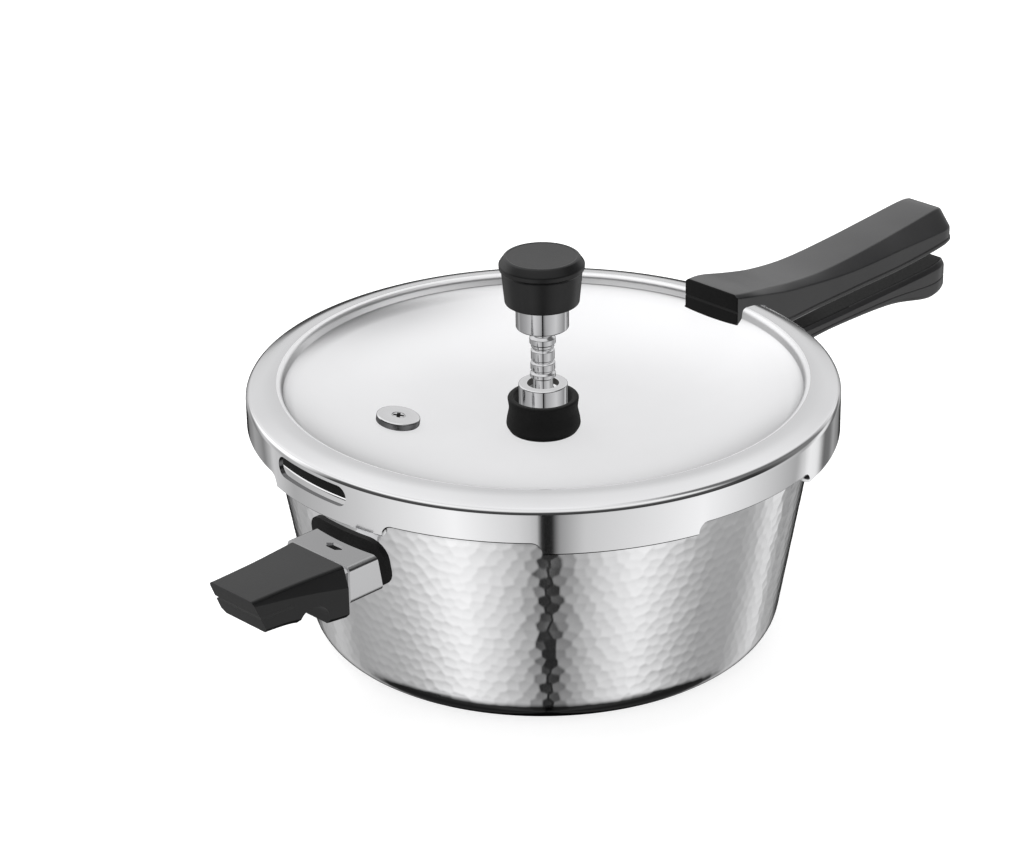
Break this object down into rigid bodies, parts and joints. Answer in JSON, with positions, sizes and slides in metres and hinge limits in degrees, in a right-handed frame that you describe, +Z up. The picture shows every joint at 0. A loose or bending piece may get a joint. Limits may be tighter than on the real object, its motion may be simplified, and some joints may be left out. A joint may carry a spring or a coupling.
{
  "type": "pressure cooker",
  "caption": "Outer-lid stovetop pressure cooker with a hammered steel pot, a dished bayonet lid, a lift-off vent weight, long twin handles and a helper handle.",
  "frame": {"origin": "centre of the pot's flat base, on the surface that it stands on", "axes": "+Z up along the pot's axis, +X along the long handles, helper handle towards -X"},
  "size_m": [0.4136, 0.24, 0.1601],
  "materials": {
    "polished_steel": "polished stainless steel, hammered on the pot's wall",
    "satin_steel": "satin",
    "black_plastic": "satin moulded phenolic",
    "black_rubber": "matt",
    "fusible_metal": "dull"
  },
  "bodies": {
    "pot": {"pot_body": "polished_steel", "pot_handle_bracket": "satin_steel", "pot_handle": "black_plastic", "pot_handle_screw": "satin_steel", "helper_bracket": "satin_steel", "helper_spacer": "black_plastic", "helper_ferrule": "polished_steel", "helper_handle": "black_plastic", "helper_screw": "satin_steel"},
    "lid": {"lid": "polished_steel", "lid_gasket": "black_rubber", "vent_cup": "black_plastic", "vent_collar": "polished_steel", "vent_tube": "polished_steel", "vent_washer": "black_rubber", "vent_lock_nut": "satin_steel", "safety_valve_body": "polished_steel", "safety_valve_plug": "fusible_metal", "safety_valve_washer": "black_rubber", "safety_valve_nut": "satin_steel", "lid_handle_bracket": "satin_steel", "lid_handle": "black_plastic", "lid_handle_screw": "satin_steel"},
    "regulator": {"regulator_weight": "polished_steel", "regulator_cap": "black_plastic", "regulator_needle": "satin_steel"}
  },
  "joints": [
    {"name": "lid_turn", "type": "hinge", "parent": "pot", "child": "lid", "pos_m": [0, 0, 0.097], "axis": [0, 0, 1], "range_deg": [0, 30]},
    {"name": "weight_lift", "type": "slide", "parent": "lid", "child": "regulator", "axis": [0, 0, 1], "range_m": [0, 0.025]}
  ]
}
